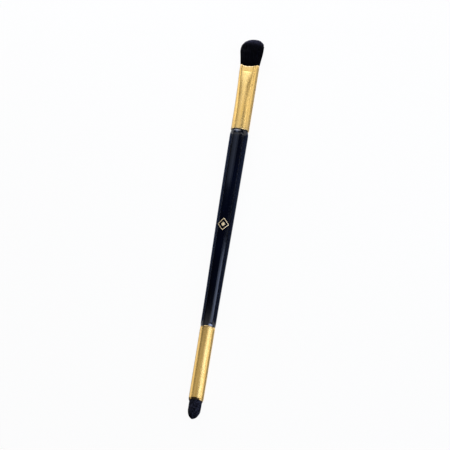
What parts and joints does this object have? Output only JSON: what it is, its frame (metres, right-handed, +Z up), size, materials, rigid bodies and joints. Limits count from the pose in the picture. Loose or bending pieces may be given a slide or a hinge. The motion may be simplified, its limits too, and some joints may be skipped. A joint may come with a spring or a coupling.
{
  "type": "double-ended makeup brush",
  "caption": "Slim double-ended makeup brush: a flattened dome of dark hair and a bullet-shaped foam smudger, each held in a gold ferrule on a tapered lacquered handle.",
  "frame": {"origin": "Middle of the brush's length and width, on the plane that the lying brush rests on.", "axes": "+X along the brush from the foam tip to the hair; +Y across, parallel to the pressed faces of the head ferrule; +Z up, square to those faces."},
  "size_m": [0.1718, 0.01, 0.008],
  "materials": {
    "lacquered_wood": "smooth black-navy lacquer, satin gloss",
    "gold_ferrule": "satin gold, drawn and lightly polished",
    "black_hair": "fine dense hair, slightly lustrous",
    "black_foam": "matt fine-pored foam",
    "cured_glue": "amber, cured hard"
  },
  "bodies": {
    "root": {"handle": "lacquered_wood", "head_ferrule": "gold_ferrule", "tip_ferrule": "gold_ferrule", "hair_head": "black_hair", "foam_tip": "black_foam", "head_root_glue": "cured_glue", "tip_root_glue": "cured_glue", "head_tenon_glue": "cured_glue", "tip_tenon_glue": "cured_glue"}
  },
  "joints": []
}
